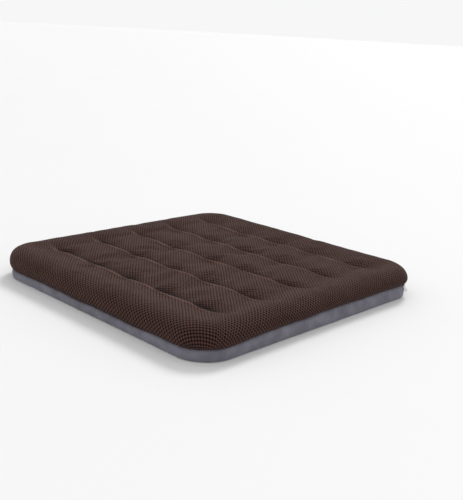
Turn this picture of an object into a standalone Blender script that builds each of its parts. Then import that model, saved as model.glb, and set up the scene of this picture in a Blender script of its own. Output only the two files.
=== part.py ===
"""Tufted seat cushion: a quilted spacer-mesh top, a sewn band with a rear zip, a base and a foam core.

Units are metres. The origin is the middle of the underside, -Y is the front edge of the seat,
+X is on the right from the front, and +Z is up.
"""
import math

import bmesh
import bpy

# Driving dimensions
SIDE = 0.450
HEIGHT = 0.045
CORNER_RADIUS = 0.050
SEAM_HEIGHT = 0.017
GAP = 0.0003

# Tufting: five rows of five bar tacks
TUFTS = 5
PITCH = 0.076
TUFT_REACH = PITCH / 4
TUFT_FLOOR_X = 0.0092
TUFT_FLOOR_Y = 0.0040
TUFT_HEIGHT = 0.0275
SLOT_RIM = 0.0009
PILLOW_HEIGHT = 0.0405
PILLOW_RISE = 0.0010
ROW_VALLEY = 0.0062
ROW_VALLEY_WIDTH = 0.009
FIELD_HALF = (TUFTS - 1) / 2 * PITCH + TUFT_REACH

# The padded roll round the quilted field: distance in from the widest outline, and height
ROLL_PROFILE = (
    (0.0380, 0.0436),
    (0.0250, HEIGHT),
    (0.0140, 0.0432),
    (0.0060, 0.0385),
    (0.0015, 0.0320),
    (0.0000, 0.0260),
    (0.0012, 0.0205),
    (0.0045, SEAM_HEIGHT + GAP),
)
BORDER = SIDE / 2 - FIELD_HALF

# Layers
MESH_THICKNESS = 0.0030
PADDING_DROP = 0.0063
PADDING_INSET = 0.0048
TUFT_DROP = 0.0047
PADDING_RINGS = 5
PADDING_BOTTOM = 0.0218
BACKING_TOP = PADDING_BOTTOM - GAP
BACKING_THICKNESS = 0.0008
BACKING_INSET = 0.0070
TACK_CAP = 0.0010
TACK_CAP_SPREAD = 0.0008
LINER_TOP = BACKING_TOP - BACKING_THICKNESS - GAP - TACK_CAP - GAP
LINER_THICKNESS = 0.0006
LINER_INSET = 0.0090
LINER_SLIT_HALF = 0.100
LINER_SLIT_RIM = 0.0090
BASE_THICKNESS = 0.0020
FOAM_EDGE = 0.0030

# Sewn band
BAND_INSET = 0.0045
BAND_THICKNESS = 0.0012
BAND_BOTTOM = 0.0006
BAND_JOIN_Y = 0.036
ARC_STEPS = 8

# Zip, along the straight part of the rear band
ZIP_HEIGHT = 0.0088
ZIP_END = SIDE / 2 - CORNER_RADIUS
ZIP_OUTER_Y = SIDE / 2 - BAND_INSET
COIL_INNER_Y = ZIP_OUTER_Y - BAND_THICKNESS
COIL_OUTER_Y = COIL_INNER_Y + 0.0020
COIL_NEAR = 0.0008
COIL_FAR = 0.0025
COIL_END = ZIP_END - 0.0085
COIL_CHAMFER = 0.0005
TAPE_THICKNESS = 0.0005
TAPE_OUTER_Y = COIL_INNER_Y - GAP
FACING_CLEARANCE = 0.0038
STOP_LENGTH = 0.0030

# Zip slider and its pull tab
SLIDER_HALF_LENGTH = 0.0045
SLIDER_HALF_WIDTH = 0.0035
SLIDER_PLATE = 0.0010
SLIDER_FLANGE = 0.0007
SLIDER_REST_X = COIL_END - SLIDER_HALF_LENGTH
NECK_HALF = 0.0005
NECK_FROM_X = 0.0015
NECK_TO_X = 0.0043
CROWN_HALF_LENGTH = 0.0026
CROWN_HALF_WIDTH = 0.0009
CROWN_WALL = 0.0008
CROWN_TUNNEL = 0.0015
TAB_LENGTH = 0.0200
TAB_THICKNESS = 0.0008
TAB_HALF_WIDTH = 0.0024
TAB_RAIL_HALF_WIDTH = 0.0020
EYE_HALF_WIDTH = 0.0012
EYE_END = 0.0032
TAB_PIVOT_Y = COIL_OUTER_Y + GAP + SLIDER_PLATE + CROWN_TUNNEL / 2

# Folded label caught in the top seam at the rear right corner
LABEL_WIDTH = 0.009
LABEL_DROP = 0.0075
LABEL_THICKNESS = 0.0008
LABEL_ANGLE = 22


def clear_scene():
    """Removes every object that the file opened with."""
    for old in list(bpy.data.objects):
        bpy.data.objects.remove(old, do_unlink=True)


def make_material(name, colour, roughness, metallic=0.0):
    """Returns a plain Principled material."""
    material = bpy.data.materials.new(name)
    material.use_nodes = True
    shader = material.node_tree.nodes["Principled BSDF"]
    shader.inputs["Base Color"].default_value = (*colour, 1.0)
    shader.inputs["Roughness"].default_value = roughness
    shader.inputs["Metallic"].default_value = metallic
    return material


def make_object(name, mesh_data, material, smooth_angle=None):
    """Turns a bmesh into a named object, with its faces pointing out."""
    bmesh.ops.recalc_face_normals(mesh_data, faces=mesh_data.faces)
    mesh = bpy.data.meshes.new(name)
    mesh_data.to_mesh(mesh)
    mesh_data.free()
    mesh.materials.append(material)
    if smooth_angle is not None:
        mesh.shade_smooth()
        mesh.set_sharp_from_angle(angle=math.radians(smooth_angle))
    piece = bpy.data.objects.new(name, mesh)
    bpy.context.scene.collection.objects.link(piece)
    return piece


def make_guide(guide):
    """Marks an object that only shapes another one."""
    guide.hide_render = True
    guide.display_type = "WIRE"
    return guide


def add_boolean(piece, operand, operation):
    """Adds an exact Boolean modifier."""
    modifier = piece.modifiers.new(operand.name, "BOOLEAN")
    modifier.operation = operation
    modifier.solver = "EXACT"
    modifier.object = operand


def add_prism(mesh_data, outline, axis, start, end):
    """Extrudes a closed 2-D outline along an axis, from start to end.

    The outline's two numbers are the other two coordinates, in X, Y, Z order.
    """
    bottom = []
    for first, second in outline:
        point = [first, second]
        point.insert("XYZ".index(axis), start)
        bottom.append(mesh_data.verts.new(point))
    face = mesh_data.faces.new(bottom)
    extruded = bmesh.ops.extrude_face_region(mesh_data, geom=[face])
    top = [item for item in extruded["geom"] if isinstance(item, bmesh.types.BMVert)]
    for vert in top:
        vert.co["XYZ".index(axis)] = end


def add_box(mesh_data, low, high):
    """Adds a box between two opposite corners."""
    outline = ((low[0], low[1]), (high[0], low[1]), (high[0], high[1]), (low[0], high[1]))
    add_prism(mesh_data, outline, "Z", low[2], high[2])


def make_box(name, low, high, material):
    """Makes one box as an object."""
    mesh_data = bmesh.new()
    add_box(mesh_data, low, high)
    return make_object(name, mesh_data, material)


def arc(centre_x, centre_y, radius, start, end):
    """Returns the points of an arc between two angles in degrees."""
    points = []
    for step in range(ARC_STEPS + 1):
        angle = math.radians(start + (end - start) * step / ARC_STEPS)
        points.append((centre_x + radius * math.cos(angle), centre_y + radius * math.sin(angle)))
    return points


def rounded_square(inset):
    """Returns the cushion's outline, moved in by a distance."""
    radius = CORNER_RADIUS - inset
    centre = SIDE / 2 - CORNER_RADIUS
    points = arc(centre, centre, radius, 0, 90)
    points += arc(-centre, centre, radius, 90, 180)
    points += arc(-centre, -centre, radius, 180, 270)
    points += arc(centre, -centre, radius, 270, 360)
    return points


def make_slab(name, inset, bottom, top, material):
    """Makes a flat layer with the cushion's outline."""
    mesh_data = bmesh.new()
    add_prism(mesh_data, rounded_square(inset), "Z", bottom, top)
    return make_object(name, mesh_data, material)


def tuft_places():
    """Yields the row, column and position of each tuft, front row first."""
    for row in range(TUFTS):
        for column in range(TUFTS):
            x = (column - (TUFTS - 1) / 2) * PITCH
            y = (row - (TUFTS - 1) / 2) * PITCH
            yield row, column, x, y


def grid_lines(floor_size):
    """Returns the grid lines across the field: four for each tuft."""
    lines = []
    for index in range(TUFTS):
        middle = (index - (TUFTS - 1) / 2) * PITCH
        for offset in (-TUFT_REACH, -floor_size / 2, floor_size / 2, TUFT_REACH):
            lines.append(middle + offset)
    return lines


def distance_to_line(value):
    """Returns the distance to the nearest row or column of tufts."""
    index = round(value / PITCH + (TUFTS - 1) / 2)
    index = min(max(index, 0), TUFTS - 1)
    return abs(value - (index - (TUFTS - 1) / 2) * PITCH)


def on_tuft_floor(x, y):
    """True at the corners of the flat patch that a tack is sewn through."""
    return distance_to_line(x) < TUFT_FLOOR_X / 2 + GAP and distance_to_line(y) < TUFT_FLOOR_Y / 2 + GAP


def field_height(x, y, drop):
    """Height of the quilted field: low at each tuft, with a shallow valley along each row.

    A layer under the surface is lower by drop, but is pressed against the mesh at the tufts.
    """
    if on_tuft_floor(x, y):
        return TUFT_HEIGHT - min(drop, TUFT_DROP)
    across = distance_to_line(y)
    edge = max(abs(x), abs(y)) / FIELD_HALF
    valley = ROW_VALLEY * math.exp(-((across / ROW_VALLEY_WIDTH) ** 2))
    return PILLOW_HEIGHT + PILLOW_RISE * edge**2 - valley - drop


def border_point(half, radius, side, fraction):
    """Point on a rounded square. The fraction runs from -1 to 1 between the middles of two corners."""
    straight = half - radius
    along = fraction * (straight + radius * math.pi / 4)
    if abs(along) <= straight:
        x, y = along, -half
    else:
        turn = (abs(along) - straight) / radius
        x = math.copysign(straight + radius * math.sin(turn), along)
        y = -half + radius * (1 - math.cos(turn))
    for _ in range(side):
        x, y = -y, x
    return x, y


def add_quilted_surface(mesh_data, inset, drop, rings):
    """Adds the open surface of the quilted top, moved in and down, with a slot at each tuft."""
    x_lines = grid_lines(TUFT_FLOOR_X)
    y_lines = grid_lines(TUFT_FLOOR_Y)
    last = len(x_lines) - 1
    grid = []
    for x in x_lines:
        grid.append([mesh_data.verts.new((x, y, field_height(x, y, drop))) for y in y_lines])
    tuft_faces = []
    for i in range(last):
        for j in range(last):
            corners = (grid[i][j], grid[i + 1][j], grid[i + 1][j + 1], grid[i][j + 1])
            face = mesh_data.faces.new(corners)
            if i % 4 == 1 and j % 4 == 1:
                tuft_faces.append(face)
    loop = [grid[i][0] for i in range(last)]
    loop += [grid[last][j] for j in range(last)]
    loop += [grid[i][last] for i in range(last, 0, -1)]
    loop += [grid[0][j] for j in range(last, 0, -1)]
    for distance, height in ROLL_PROFILE[:rings]:
        half = SIDE / 2 - distance - inset
        radius = CORNER_RADIUS * (1 - distance / BORDER) - inset
        ring = []
        for side in range(4):
            lines = x_lines if side % 2 == 0 else y_lines
            for line in lines[:-1]:
                x, y = border_point(half, radius, side, line / FIELD_HALF)
                ring.append(mesh_data.verts.new((x, y, height - drop)))
        for index, vert in enumerate(ring):
            after = (index + 1) % len(ring)
            mesh_data.faces.new((loop[index], vert, ring[after], loop[after]))
        loop = ring
    bmesh.ops.inset_individual(mesh_data, faces=tuft_faces, thickness=SLOT_RIM)
    bmesh.ops.delete(mesh_data, geom=tuft_faces, context="FACES")


def make_top_mesh_panel(material):
    """Spacer-mesh panel: the quilted surface, thickened inwards."""
    mesh_data = bmesh.new()
    add_quilted_surface(mesh_data, 0.0, 0.0, len(ROLL_PROFILE))
    panel = make_object("top_mesh_panel", mesh_data, material, 50)
    thickness = panel.modifiers.new("thickness", "SOLIDIFY")
    thickness.thickness = MESH_THICKNESS
    thickness.offset = -1.0
    thickness.use_even_offset = True
    return panel


def make_quilt_padding(material):
    """Soft filling between the mesh and its backing, pressed thin at each tuft."""
    mesh_data = bmesh.new()
    add_quilted_surface(mesh_data, PADDING_INSET, PADDING_DROP, PADDING_RINGS)
    extruded = bmesh.ops.extrude_face_region(mesh_data, geom=mesh_data.faces[:])
    for item in extruded["geom"]:
        if isinstance(item, bmesh.types.BMVert):
            item.co.z = PADDING_BOTTOM
    return make_object("quilt_padding", mesh_data, material, 50)


def make_quilt_backing(material):
    """Backing sheet that the tacks are sewn through."""
    bottom = BACKING_TOP - BACKING_THICKNESS
    backing = make_slab("quilt_backing", BACKING_INSET, bottom, BACKING_TOP, material)
    slots = bmesh.new()
    half_x = TUFT_FLOOR_X / 2 - SLOT_RIM
    half_y = TUFT_FLOOR_Y / 2 - SLOT_RIM
    for _, _, x, y in tuft_places():
        low = (x - half_x, y - half_y, bottom - BACKING_THICKNESS)
        high = (x + half_x, y + half_y, BACKING_TOP + BACKING_THICKNESS)
        add_box(slots, low, high)
    cutter = make_guide(make_object("tack_slots", slots, material))
    add_boolean(backing, cutter, "DIFFERENCE")
    return backing


def make_tacks(material):
    """Bar tacks, each a thread block through the layers with a wider top and bottom."""
    half_length = TUFT_FLOOR_X / 2 - SLOT_RIM - GAP
    post = TUFT_FLOOR_Y / 2 - SLOT_RIM - GAP
    cap = post + TACK_CAP_SPREAD
    top = TUFT_HEIGHT + GAP
    bottom = BACKING_TOP - BACKING_THICKNESS - GAP
    right_side = (
        (cap, bottom - TACK_CAP),
        (cap, bottom),
        (post, bottom),
        (post, top),
        (cap, top),
        (cap, top + TACK_CAP),
    )
    profile = right_side + tuple((-y, z) for y, z in reversed(right_side))
    for row, column, x, y in tuft_places():
        mesh_data = bmesh.new()
        add_prism(mesh_data, profile, "X", -half_length, half_length)
        tack = make_object(f"tack_row{row + 1}_col{column + 1}", mesh_data, material)
        tack.location = (x, y, 0.0)


def make_strip(name, outer, inner, bottom, top, material):
    """Upright strip of fabric between an outer and an inner line."""
    mesh_data = bmesh.new()
    add_prism(mesh_data, list(outer) + list(reversed(inner)), "Z", bottom, top)
    return make_object(name, mesh_data, material, 30)


def make_bands(material):
    """The band: a front length round three sides, and a length round each rear corner."""
    centre = SIDE / 2 - CORNER_RADIUS
    lines = {"front": [], "right": [], "left": []}
    for inset in (BAND_INSET, BAND_INSET + BAND_THICKNESS):
        half = SIDE / 2 - inset
        radius = CORNER_RADIUS - inset
        front = [(-half, BAND_JOIN_Y)] + arc(-centre, -centre, radius, 180, 270)
        front += arc(centre, -centre, radius, 270, 360) + [(half, BAND_JOIN_Y)]
        right = [(half, BAND_JOIN_Y + GAP)] + arc(centre, centre, radius, 0, 90)
        left = [(-x, y) for x, y in reversed(right)]
        lines["front"].append(front)
        lines["right"].append(right)
        lines["left"].append(left)
    top = SEAM_HEIGHT
    make_strip("band_front", *lines["front"], BAND_BOTTOM, top, material)
    make_strip("band_rear_right", *lines["right"], BAND_BOTTOM, top, material)
    make_strip("band_rear_left", *lines["left"], BAND_BOTTOM, top, material)


def make_zip_fabric(facing_material, tape_material):
    """The facings above and below the zip, and the two tapes behind them."""
    end = ZIP_END - GAP
    outer = ZIP_OUTER_Y
    inner = ZIP_OUTER_Y - BAND_THICKNESS
    low_top = ZIP_HEIGHT - FACING_CLEARANCE
    high_bottom = ZIP_HEIGHT + FACING_CLEARANCE
    make_box("zip_facing_lower", (-end, inner, BAND_BOTTOM), (end, outer, low_top), facing_material)
    make_box("zip_facing_upper", (-end, inner, high_bottom), (end, outer, SEAM_HEIGHT), facing_material)
    tape_inner = TAPE_OUTER_Y - TAPE_THICKNESS
    tape_low = BASE_THICKNESS + GAP
    tape_high = SEAM_HEIGHT - GAP
    make_box(
        "zip_tape_lower",
        (-end, tape_inner, tape_low),
        (end, TAPE_OUTER_Y, ZIP_HEIGHT - COIL_NEAR),
        tape_material,
    )
    make_box(
        "zip_tape_upper",
        (-end, tape_inner, ZIP_HEIGHT + COIL_NEAR),
        (end, TAPE_OUTER_Y, tape_high),
        tape_material,
    )


def make_zip_coils(coil_material, stop_material):
    """The two halves of the coil, with the slit that the slider's neck runs in, and the end stops."""
    profile = (
        (COIL_INNER_Y, COIL_NEAR),
        (COIL_OUTER_Y - COIL_CHAMFER, COIL_NEAR),
        (COIL_OUTER_Y, COIL_NEAR + COIL_CHAMFER),
        (COIL_OUTER_Y, COIL_FAR - COIL_CHAMFER),
        (COIL_OUTER_Y - COIL_CHAMFER, COIL_FAR),
        (COIL_INNER_Y, COIL_FAR),
    )
    for name, direction in (("zip_coil_upper", 1), ("zip_coil_lower", -1)):
        outline = [(y, ZIP_HEIGHT + direction * z) for y, z in profile]
        mesh_data = bmesh.new()
        add_prism(mesh_data, outline, "X", -COIL_END, COIL_END)
        make_object(name, mesh_data, coil_material)
    for name, direction in (("zip_stop_right", 1), ("zip_stop_left", -1)):
        ends = sorted((direction * (COIL_END + GAP), direction * (COIL_END + GAP + STOP_LENGTH)))
        low = (ends[0], COIL_INNER_Y, ZIP_HEIGHT - COIL_FAR)
        high = (ends[1], COIL_OUTER_Y, ZIP_HEIGHT + COIL_FAR)
        make_box(name, low, high, stop_material)


def make_zip_slider(material):
    """Slider: an outer plate with flanges and a crown, a neck through the slit, and an inner plate."""
    plate_y = COIL_OUTER_Y + GAP
    top_y = plate_y + SLIDER_PLATE
    flange_y = COIL_INNER_Y
    flange_z = SLIDER_HALF_WIDTH - SLIDER_FLANGE
    half_channel = ((flange_y, flange_z), (flange_y, SLIDER_HALF_WIDTH), (top_y, SLIDER_HALF_WIDTH))
    mirrored = tuple((y, -z) for y, z in reversed(half_channel))
    channel = half_channel + mirrored + ((plate_y, -flange_z), (plate_y, flange_z))
    mesh_data = bmesh.new()
    add_prism(mesh_data, channel, "X", -SLIDER_HALF_LENGTH, SLIDER_HALF_LENGTH)
    slider = make_object("zip_slider", mesh_data, material)
    slider.location = (SLIDER_REST_X, 0.0, ZIP_HEIGHT)

    inner_top_y = TAPE_OUTER_Y - TAPE_THICKNESS - GAP
    inner_low_y = inner_top_y - SLIDER_PLATE
    overlap = SLIDER_PLATE / 4
    crown_y = top_y + CROWN_TUNNEL
    tunnel_x = CROWN_HALF_LENGTH - CROWN_WALL
    half_crown = (
        (tunnel_x, top_y - overlap),
        (CROWN_HALF_LENGTH, top_y - overlap),
        (CROWN_HALF_LENGTH, crown_y),
        (tunnel_x, crown_y + CROWN_WALL),
    )
    crown_outer = half_crown[1:] + tuple((-x, y) for x, y in reversed(half_crown[1:]))
    crown_inner = ((-tunnel_x, half_crown[0][1]), (-tunnel_x, crown_y), (tunnel_x, crown_y), half_crown[0])
    crown = bmesh.new()
    add_prism(crown, crown_outer + crown_inner, "Z", -CROWN_HALF_WIDTH, CROWN_HALF_WIDTH)

    neck = bmesh.new()
    low = (NECK_FROM_X, inner_top_y - overlap, -NECK_HALF)
    high = (NECK_TO_X, plate_y + overlap, NECK_HALF)
    add_box(neck, low, high)
    inner_plate = bmesh.new()
    low = (-SLIDER_HALF_LENGTH, inner_low_y, -SLIDER_HALF_WIDTH)
    high = (SLIDER_HALF_LENGTH, inner_top_y, SLIDER_HALF_WIDTH)
    add_box(inner_plate, low, high)
    shapes = (("slider_neck", neck), ("slider_inner_plate", inner_plate), ("slider_crown", crown))
    for name, shape in shapes:
        guide = make_guide(make_object(name, shape, material))
        guide.location = slider.location
        add_boolean(slider, guide, "UNION")
    return slider


def make_pull_tab(slider, material):
    """Pull tab, with its origin on the pivot under the slider's crown and its blade to the left."""
    half_bar = TAB_THICKNESS / 2
    blade_centre = TAB_LENGTH - TAB_HALF_WIDTH
    outline = [(half_bar, -TAB_RAIL_HALF_WIDTH), (half_bar, TAB_RAIL_HALF_WIDTH)]
    outline.append((-EYE_END - TAB_HALF_WIDTH, TAB_RAIL_HALF_WIDTH))
    outline += arc(-blade_centre, 0.0, TAB_HALF_WIDTH, 90, 270)
    outline.append((-EYE_END - TAB_HALF_WIDTH, -TAB_RAIL_HALF_WIDTH))
    mesh_data = bmesh.new()
    add_prism(mesh_data, outline, "Y", -half_bar, half_bar)
    tab = make_object("zip_pull_tab", mesh_data, material)
    tab.location = (slider.location.x, TAB_PIVOT_Y, ZIP_HEIGHT)
    eye = bmesh.new()
    add_box(eye, (-EYE_END, -TAB_THICKNESS, -EYE_HALF_WIDTH), (-half_bar, TAB_THICKNESS, EYE_HALF_WIDTH))
    cutter = make_guide(make_object("pull_tab_eye", eye, material))
    cutter.location = tab.location
    add_boolean(tab, cutter, "DIFFERENCE")
    return tab


def make_seam_label(material):
    """Small folded label that hangs from the top seam over the band, square to the corner's arc."""
    centre = SIDE / 2 - CORNER_RADIUS
    band_radius = CORNER_RADIUS - BAND_INSET + GAP
    low = (band_radius, -LABEL_WIDTH / 2, SEAM_HEIGHT - LABEL_DROP)
    high = (band_radius + LABEL_THICKNESS, LABEL_WIDTH / 2, SEAM_HEIGHT)
    label = make_box("seam_label", low, high, material)
    label.location = (centre, centre, 0.0)
    label.rotation_euler.z = math.radians(LABEL_ANGLE)
    return label


def make_core_liner(material):
    """Thin bag round the foam, open along a slit in its rear wall."""
    mesh_data = bmesh.new()
    add_prism(mesh_data, rounded_square(LINER_INSET), "Z", BASE_THICKNESS + GAP, LINER_TOP)
    bmesh.ops.recalc_face_normals(mesh_data, faces=mesh_data.faces)
    rear = max(mesh_data.faces, key=lambda face: face.calc_center_median().y)
    bmesh.ops.inset_individual(mesh_data, faces=[rear], thickness=LINER_SLIT_RIM)
    for vert in rear.verts:
        vert.co.x = math.copysign(LINER_SLIT_HALF, vert.co.x)
    bmesh.ops.delete(mesh_data, geom=[rear], context="FACES")
    liner = make_object("core_liner", mesh_data, material)
    thickness = liner.modifiers.new("thickness", "SOLIDIFY")
    thickness.thickness = LINER_THICKNESS
    thickness.offset = -1.0
    thickness.use_even_offset = True
    return liner


def make_foam_core(material):
    """Foam slab inside the liner."""
    inset = LINER_INSET + LINER_THICKNESS + GAP
    bottom = BASE_THICKNESS + GAP + LINER_THICKNESS + GAP
    top = LINER_TOP - LINER_THICKNESS - GAP
    foam = make_slab("foam_core", inset, bottom, top, material)
    rounding = foam.modifiers.new("rounding", "BEVEL")
    rounding.width = FOAM_EDGE
    rounding.segments = 2
    rounding.limit_method = "ANGLE"
    rounding.angle_limit = math.radians(60)
    return foam


def main():
    """Builds the whole cushion."""
    clear_scene()
    brown_mesh = make_material("brown_spacer_mesh", (0.070, 0.040, 0.033), 0.90)
    brown_thread = make_material("brown_thread", (0.045, 0.026, 0.022), 0.70)
    grey_suede = make_material("grey_suede", (0.155, 0.150, 0.175), 0.92)
    grip_fabric = make_material("grip_fabric", (0.110, 0.108, 0.120), 0.85)
    white_wadding = make_material("white_wadding", (0.78, 0.77, 0.74), 0.95)
    backing_cloth = make_material("backing_cloth", (0.60, 0.59, 0.57), 0.90)
    liner_knit = make_material("liner_knit", (0.72, 0.72, 0.70), 0.90)
    cream_foam = make_material("cream_foam", (0.80, 0.74, 0.60), 0.95)
    zip_tape = make_material("zip_tape", (0.120, 0.117, 0.130), 0.85)
    zip_nylon = make_material("zip_nylon", (0.100, 0.098, 0.108), 0.45)
    zip_metal = make_material("zip_metal", (0.50, 0.50, 0.52), 0.30, 1.0)
    label_satin = make_material("label_satin", (0.52, 0.53, 0.56), 0.60)

    make_top_mesh_panel(brown_mesh)
    make_quilt_padding(white_wadding)
    make_quilt_backing(backing_cloth)
    make_tacks(brown_thread)
    make_bands(grey_suede)
    make_zip_fabric(grey_suede, zip_tape)
    make_zip_coils(zip_nylon, zip_metal)
    slider = make_zip_slider(zip_metal)
    make_pull_tab(slider, zip_metal)
    make_seam_label(label_satin)
    make_slab("base_panel", BAND_INSET + BAND_THICKNESS + GAP, 0.0, BASE_THICKNESS, grip_fabric)
    make_core_liner(liner_knit)
    make_foam_core(cream_foam)


main()
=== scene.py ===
"""Looks of the tufted seat cushion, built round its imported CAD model.

Units are metres, in the CAD model's frame: the origin is the middle of the underside, -Y is the
front edge of the seat, +X is on the right from the front, and +Z is up.
"""
import math

import bmesh
import bpy
import numpy as np
from mathutils import Matrix, Vector, noise


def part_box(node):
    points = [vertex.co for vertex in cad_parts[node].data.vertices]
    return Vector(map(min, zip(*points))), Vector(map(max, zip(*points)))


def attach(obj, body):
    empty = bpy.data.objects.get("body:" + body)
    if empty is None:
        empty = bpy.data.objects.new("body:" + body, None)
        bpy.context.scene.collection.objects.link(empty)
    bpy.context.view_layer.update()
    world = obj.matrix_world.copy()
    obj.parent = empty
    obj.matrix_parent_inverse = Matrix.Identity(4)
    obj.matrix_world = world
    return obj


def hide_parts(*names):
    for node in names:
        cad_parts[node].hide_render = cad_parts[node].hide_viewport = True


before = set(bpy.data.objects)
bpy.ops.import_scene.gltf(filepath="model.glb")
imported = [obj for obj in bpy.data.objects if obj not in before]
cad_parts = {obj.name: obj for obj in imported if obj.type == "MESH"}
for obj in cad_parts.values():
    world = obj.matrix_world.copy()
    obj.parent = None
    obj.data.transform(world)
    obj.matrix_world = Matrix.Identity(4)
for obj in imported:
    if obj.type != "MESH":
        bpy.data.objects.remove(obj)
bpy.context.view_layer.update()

# Sizes read from the frame
TOP_LOW, TOP_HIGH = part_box("top_mesh_panel")
BAND_LOW, BAND_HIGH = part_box("band_front")
FIRST_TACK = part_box("tack_row1_col1")
SIDE = TOP_HIGH.x - TOP_LOW.x
HEIGHT = TOP_HIGH.z
SEAM = BAND_HIGH.z
TUFTS = 5
FIRST_TUFT = (FIRST_TACK[0].x + FIRST_TACK[1].x) / 2
PITCH = -FIRST_TUFT / (TUFTS // 2)
TUFT_LINES = FIRST_TUFT + PITCH * np.arange(TUFTS)
FIELD_HALF = PITCH * (TUFTS / 2 - 0.25)
BORDER = SIDE / 2 - FIELD_HALF
CORNER_RADIUS = SIDE / 9
BAND_INSET = SIDE / 2 - BAND_HIGH.x
BAND_JOIN_Y = BAND_HIGH.y

# The quilted top: cells per tuft pitch, rings round the field, and the relief
CELLS = 20
RINGS = 22
FIELD_HEIGHT = 0.90 * HEIGHT
VALLEY_DEPTH = 0.0066
VALLEY_FRONT = 0.0052
VALLEY_REAR = 0.0150
CREST_LIP = 0.0016
CREST_PLACE = 0.0088
CREST_WIDTH = 0.0048
COLUMN_DEPTH = 0.0004
DIMPLE_DEPTH = 0.0071
DIMPLE_X = 0.0150
DIMPLE_FRONT = 0.0055
DIMPLE_REAR = 0.0115
# Painted light on the cover: width of the painted highlight along the crests, and how dark the painted
# shade is in the valleys behind them
PAINTED_HIGHLIGHT_WIDTH = 0.0036
PAINTED_VALLEY_SHADE = 0.50
PAINTED_SHADE_SHIFT = 0.0042
PAINTED_SHADE_DEPTH = 0.0078
SHEET_THICKNESS = 0.0030
# How far the air pressure may move the cloth in the field, and how much less on the roll
SWELL_FRAMES = 20
SWELL_REACH = 0.0015
SWELL_HELD = 0.0012
SEWN_X = 0.0046
SEWN_Y = 0.0021
# Inner layers: how far the wadding lies below and inside the cover, and its share of the roll's rings
WADDING_DROP = 0.0074
WADDING_INSET = 0.0060
WADDING_SHARE = 0.72
BACKING_SLACK = 0.0022
BAG_THICKNESS = 0.0005
INNER_WRINKLE = 0.00015
# The band: how far it bellies, folds and waves, and its slanted joins
BAND_THICKNESS = 0.0012
BAND_BELLY = 0.0014
BAND_FOLD = 0.00095
BAND_WAVE = 0.0007
LEAN_REACH = 0.045
JOIN_SLANT = 0.019
JOIN_LIP = 0.0011
JOIN_GAP = 0.0015
# Zip, stitches, tacks and label
FACING_WAVE = 0.0003
TAPE_WAVE = 0.00005
STITCH_LENGTH = 0.0028
STITCH_GAP = 0.0011
STITCH_RADIUS = 0.00022
STITCH_MARGIN = 0.0012
COIL_PITCH = 0.0013
COIL_WIRE = 0.00030
TACK_TURNS = 11
TACK_THREAD = 0.00028
LABEL_WIDTH = 0.0115
LABEL_CURL = 0.0034
# Camera: azimuth, elevation and roll in degrees, lens in mm, and its place from the origin
CAMERA_ANGLES = (43.9, 15.7, 3.2)
CAMERA_LENS = 56.1
CAMERA_PLACE = (1.176, 0.034, 0.050)
FLOOR_REACH = 90.0
# The spacer mesh's holes: a staggered grid that repeats at these distances across and along
HOLE_X = 0.0059
HOLE_Y = 0.0051
# Section of the padded roll: distance in from the outline as a share of the border, and height
# as a share of the cushion's
ROLL = (
    (1.00, 0.920),
    (0.72, 0.962),
    (0.47, 1.000),
    (0.26, 0.966),
    (0.11, 0.860),
    (0.025, 0.715),
    (0.00, 0.575),
    (0.025, 0.455),
    (0.10, 0.385),
)

# How far the top seam runs above or below its CAD height, by direction round the cushion
SEAM_LIFT = (
    (-180, 0.0010),
    (-150, -0.0018),
    (-130, -0.0048),
    (-90, -0.0056),
    (-60, -0.0048),
    (-42, -0.0016),
    (-15, 0.0014),
    (15, 0.0024),
    (40, 0.0018),
    (55, 0.0),
    (125, 0.0),
    (150, 0.0008),
    (180, 0.0010),
)


# ---------------------------------------------------------------- small helpers


def wave(*terms):
    """Sum of smooth waves: each term is (phase in radians, amount)."""
    return sum(amount * np.sin(phase) for phase, amount in terms)


def smooth_curve(points, count):
    """Returns evenly spaced points along a smooth curve through the given ones."""
    points = np.array(points, float)
    ends = np.vstack([2 * points[0] - points[1], points, 2 * points[-1] - points[-2]])
    fine = []
    step = np.linspace(0, 1, 24, endpoint=False)[:, None]
    for index in range(len(points) - 1):
        a, b, c, d = ends[index : index + 4]
        cubic = 2 * b + (c - a) * step + (2 * a - 5 * b + 4 * c - d) * step**2
        fine.append(0.5 * (cubic + (3 * b - a - 3 * c + d) * step**3))
    fine = np.vstack(fine + [points[-1:]])
    lengths = np.linalg.norm(np.diff(fine, axis=0), axis=1)
    along = np.concatenate([[0], np.cumsum(lengths)])
    wanted = np.linspace(0, along[-1], count)
    columns = [np.interp(wanted, along, fine[:, axis]) for axis in range(fine.shape[1])]
    return np.column_stack(columns)


def eased(value, start, end):
    """Smooth step from 0 at start to 1 at end."""
    share = np.clip((value - start) / (end - start), 0, 1)
    return share * share * (3 - 2 * share)


def make_piece(name, points, faces, material):
    """Makes a smooth-shaded mesh piece from points and faces."""
    mesh = bpy.data.meshes.new(name)
    mesh.from_pydata([tuple(point) for point in points], [], [tuple(face) for face in faces])
    mesh.materials.append(material)
    mesh.shade_smooth()
    piece = bpy.data.objects.new(name, mesh)
    bpy.context.scene.collection.objects.link(piece)
    return piece


def face_outwards(piece):
    """Turns a closed piece's faces to point out."""
    mesh_data = bmesh.new()
    mesh_data.from_mesh(piece.data)
    bmesh.ops.recalc_face_normals(mesh_data, faces=mesh_data.faces)
    mesh_data.to_mesh(piece.data)
    mesh_data.free()


def coordinates(mesh):
    """Returns a mesh's vertex positions as an array."""
    values = np.zeros(len(mesh.vertices) * 3, np.float32)
    mesh.vertices.foreach_get("co", values)
    return values.reshape(-1, 3).astype(float)


def set_coordinates(mesh, points):
    """Moves a mesh's vertices."""
    mesh.vertices.foreach_set("co", points.astype(np.float32).ravel())
    mesh.update()


def vertex_normals(mesh):
    """Returns a mesh's vertex normals as an array."""
    values = np.zeros(len(mesh.vertices) * 3, np.float32)
    mesh.vertex_normals.foreach_get("vector", values)
    return values.reshape(-1, 3).astype(float)


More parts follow.
